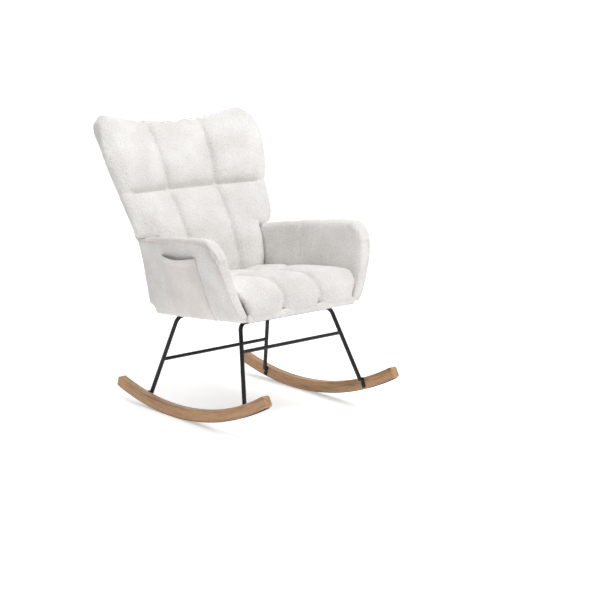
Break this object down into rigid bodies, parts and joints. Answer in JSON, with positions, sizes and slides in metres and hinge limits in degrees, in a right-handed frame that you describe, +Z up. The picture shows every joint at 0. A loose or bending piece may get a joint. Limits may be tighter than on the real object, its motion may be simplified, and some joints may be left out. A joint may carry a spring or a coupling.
{
  "type": "wingback rocking chair",
  "caption": "Wingback rocking chair with a channelled boucle seat and back, side pockets, a bent black tube frame and curved wooden runners.",
  "frame": {"origin": "on the floor, under the middle of the chair's box, with the chair at rest on its runners", "axes": "+Z up, -Y the way the sitter faces, +X to the sitter's left"},
  "size_m": [0.6918, 0.8906, 0.9803],
  "materials": {
    "boucle_fabric": "looped off-white boucle, matt",
    "trim_fabric": "piping and pockets in the same boucle, a little smoother",
    "oak": "satin-lacquered bent wood",
    "black_steel": "black powder coat, satin",
    "grip_rubber": "matt black strip",
    "pine": "sawn, unfinished",
    "zinc_steel": "zinc plated",
    "brass_insert": "turned",
    "foam": "cut upholstery foam under wadding",
    "webbing": "woven elastic strap",
    "dust_cloth": "thin black nonwoven cloth"
  },
  "bodies": {
    "root": {"runner_left": "oak", "runner_right": "oak", "grip_strip_left": "grip_rubber", "grip_strip_right": "grip_rubber", "front_leg_frame": "black_steel", "rear_leg_frame": "black_steel", "front_crossbar": "black_steel", "rear_crossbar": "black_steel", "foot_plates": "black_steel", "mount_plates": "black_steel", "frame_bolts": "black_steel", "frame_washers": "zinc_steel", "seat_tee_nuts": "zinc_steel", "foot_screws": "black_steel", "runner_inserts": "brass_insert", "seat_front_rail": "pine", "seat_rear_rail": "pine", "seat_side_rail_left": "pine", "seat_side_rail_right": "pine", "front_slat": "pine", "rear_slat": "pine", "corner_blocks": "pine", "webbing_long": "webbing", "webbing_cross": "webbing", "seat_foam": "foam", "seat_cover": "boucle_fabric", "front_border": "boucle_fabric", "dust_cover": "dust_cloth", "arm_base_rail_left": "pine", "arm_base_rail_right": "pine", "arm_front_post_left": "pine", "arm_front_post_right": "pine", "arm_rear_post_left": "pine", "arm_rear_post_right": "pine", "arm_top_rail_left": "pine", "arm_top_rail_right": "pine", "arm_foam_left": "foam", "arm_foam_right": "foam", "arm_cover_left": "boucle_fabric", "arm_cover_right": "boucle_fabric", "arm_piping_left": "trim_fabric", "arm_piping_right": "trim_fabric", "side_pocket_left": "trim_fabric", "side_pocket_right": "trim_fabric", "arm_bolts": "zinc_steel", "arm_tee_nuts": "zinc_steel", "back_stile_left": "pine", "back_stile_right": "pine", "back_top_rail": "pine", "back_mid_rail": "pine", "back_foot_rail": "pine", "back_webbing": "webbing", "back_foam": "foam", "back_cover": "boucle_fabric", "back_panel": "boucle_fabric", "back_bolts": "zinc_steel", "back_tee_nuts": "zinc_steel"}
  },
  "joints": []
}
